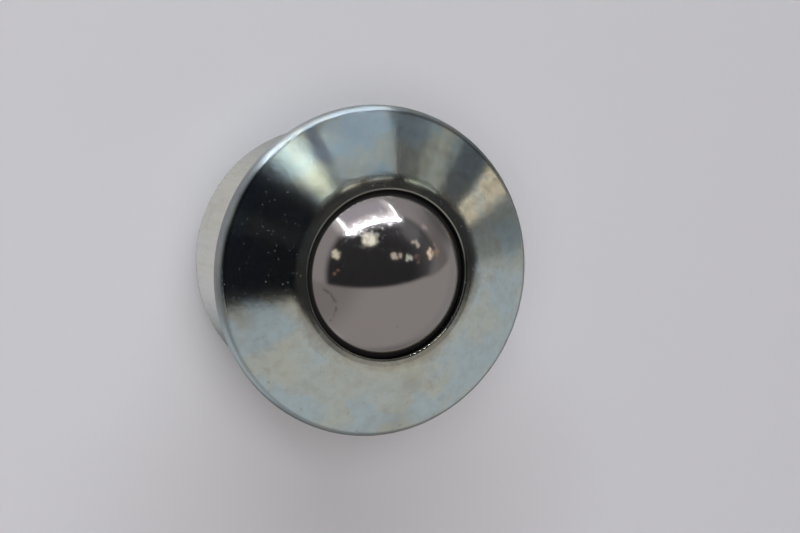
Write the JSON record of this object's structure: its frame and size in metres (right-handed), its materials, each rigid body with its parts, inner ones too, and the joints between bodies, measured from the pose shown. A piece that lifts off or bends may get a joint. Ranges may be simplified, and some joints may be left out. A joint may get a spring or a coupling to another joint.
{
  "type": "ball transfer unit",
  "caption": "Ball transfer unit: a large load ball rolls on a bed of small support balls in a flanged sheet-steel housing with a conical cover, to move flat loads in any direction.",
  "frame": {"origin": "centre of the flat base of the can, on the unit's axis", "axes": "+Z along the unit's axis, from the base towards the load ball; the unit is round about it, so +X and +Y are free"},
  "size_m": [0.075, 0.075, 0.0535],
  "materials": {
    "housing_sheet": "zinc-plated deep-drawn sheet, satin",
    "cover_sheet": "zinc-plated pressed sheet, bright satin",
    "hardened_cup": "hardened steel, oil-blackened, with a polished raceway",
    "ring_moulding": "moulded, matte",
    "seal_felt": "dense black felt, oiled",
    "load_ball_steel": "polished hardened ball steel",
    "support_ball_steel": "polished hardened ball steel"
  },
  "bodies": {
    "housing": {"housing": "housing_sheet", "bearing_cup": "hardened_cup", "retaining_ring": "ring_moulding", "ball_seal": "seal_felt", "cover": "cover_sheet"},
    "support_balls": {"support_ball_row_1": "support_ball_steel", "support_ball_row_2": "support_ball_steel", "support_ball_row_3": "support_ball_steel", "support_ball_row_4": "support_ball_steel", "support_ball_row_5": "support_ball_steel", "support_ball_row_6": "support_ball_steel", "support_ball_row_7": "support_ball_steel", "support_ball_row_8": "support_ball_steel", "support_ball_row_9": "support_ball_steel"},
    "load_ball": {"load_ball": "load_ball_steel"}
  },
  "joints": [
    {"name": "ball_bed_turn", "type": "hinge", "parent": "housing", "child": "support_balls", "pos_m": [0, 0, 0.031], "axis": [0, 0, 1], "continuous": true},
    {"name": "load_ball_roll", "type": "hinge", "parent": "support_balls", "child": "load_ball", "pos_m": [0, 0, 0.031], "axis": [1, 0, 0], "continuous": true}
  ]
}
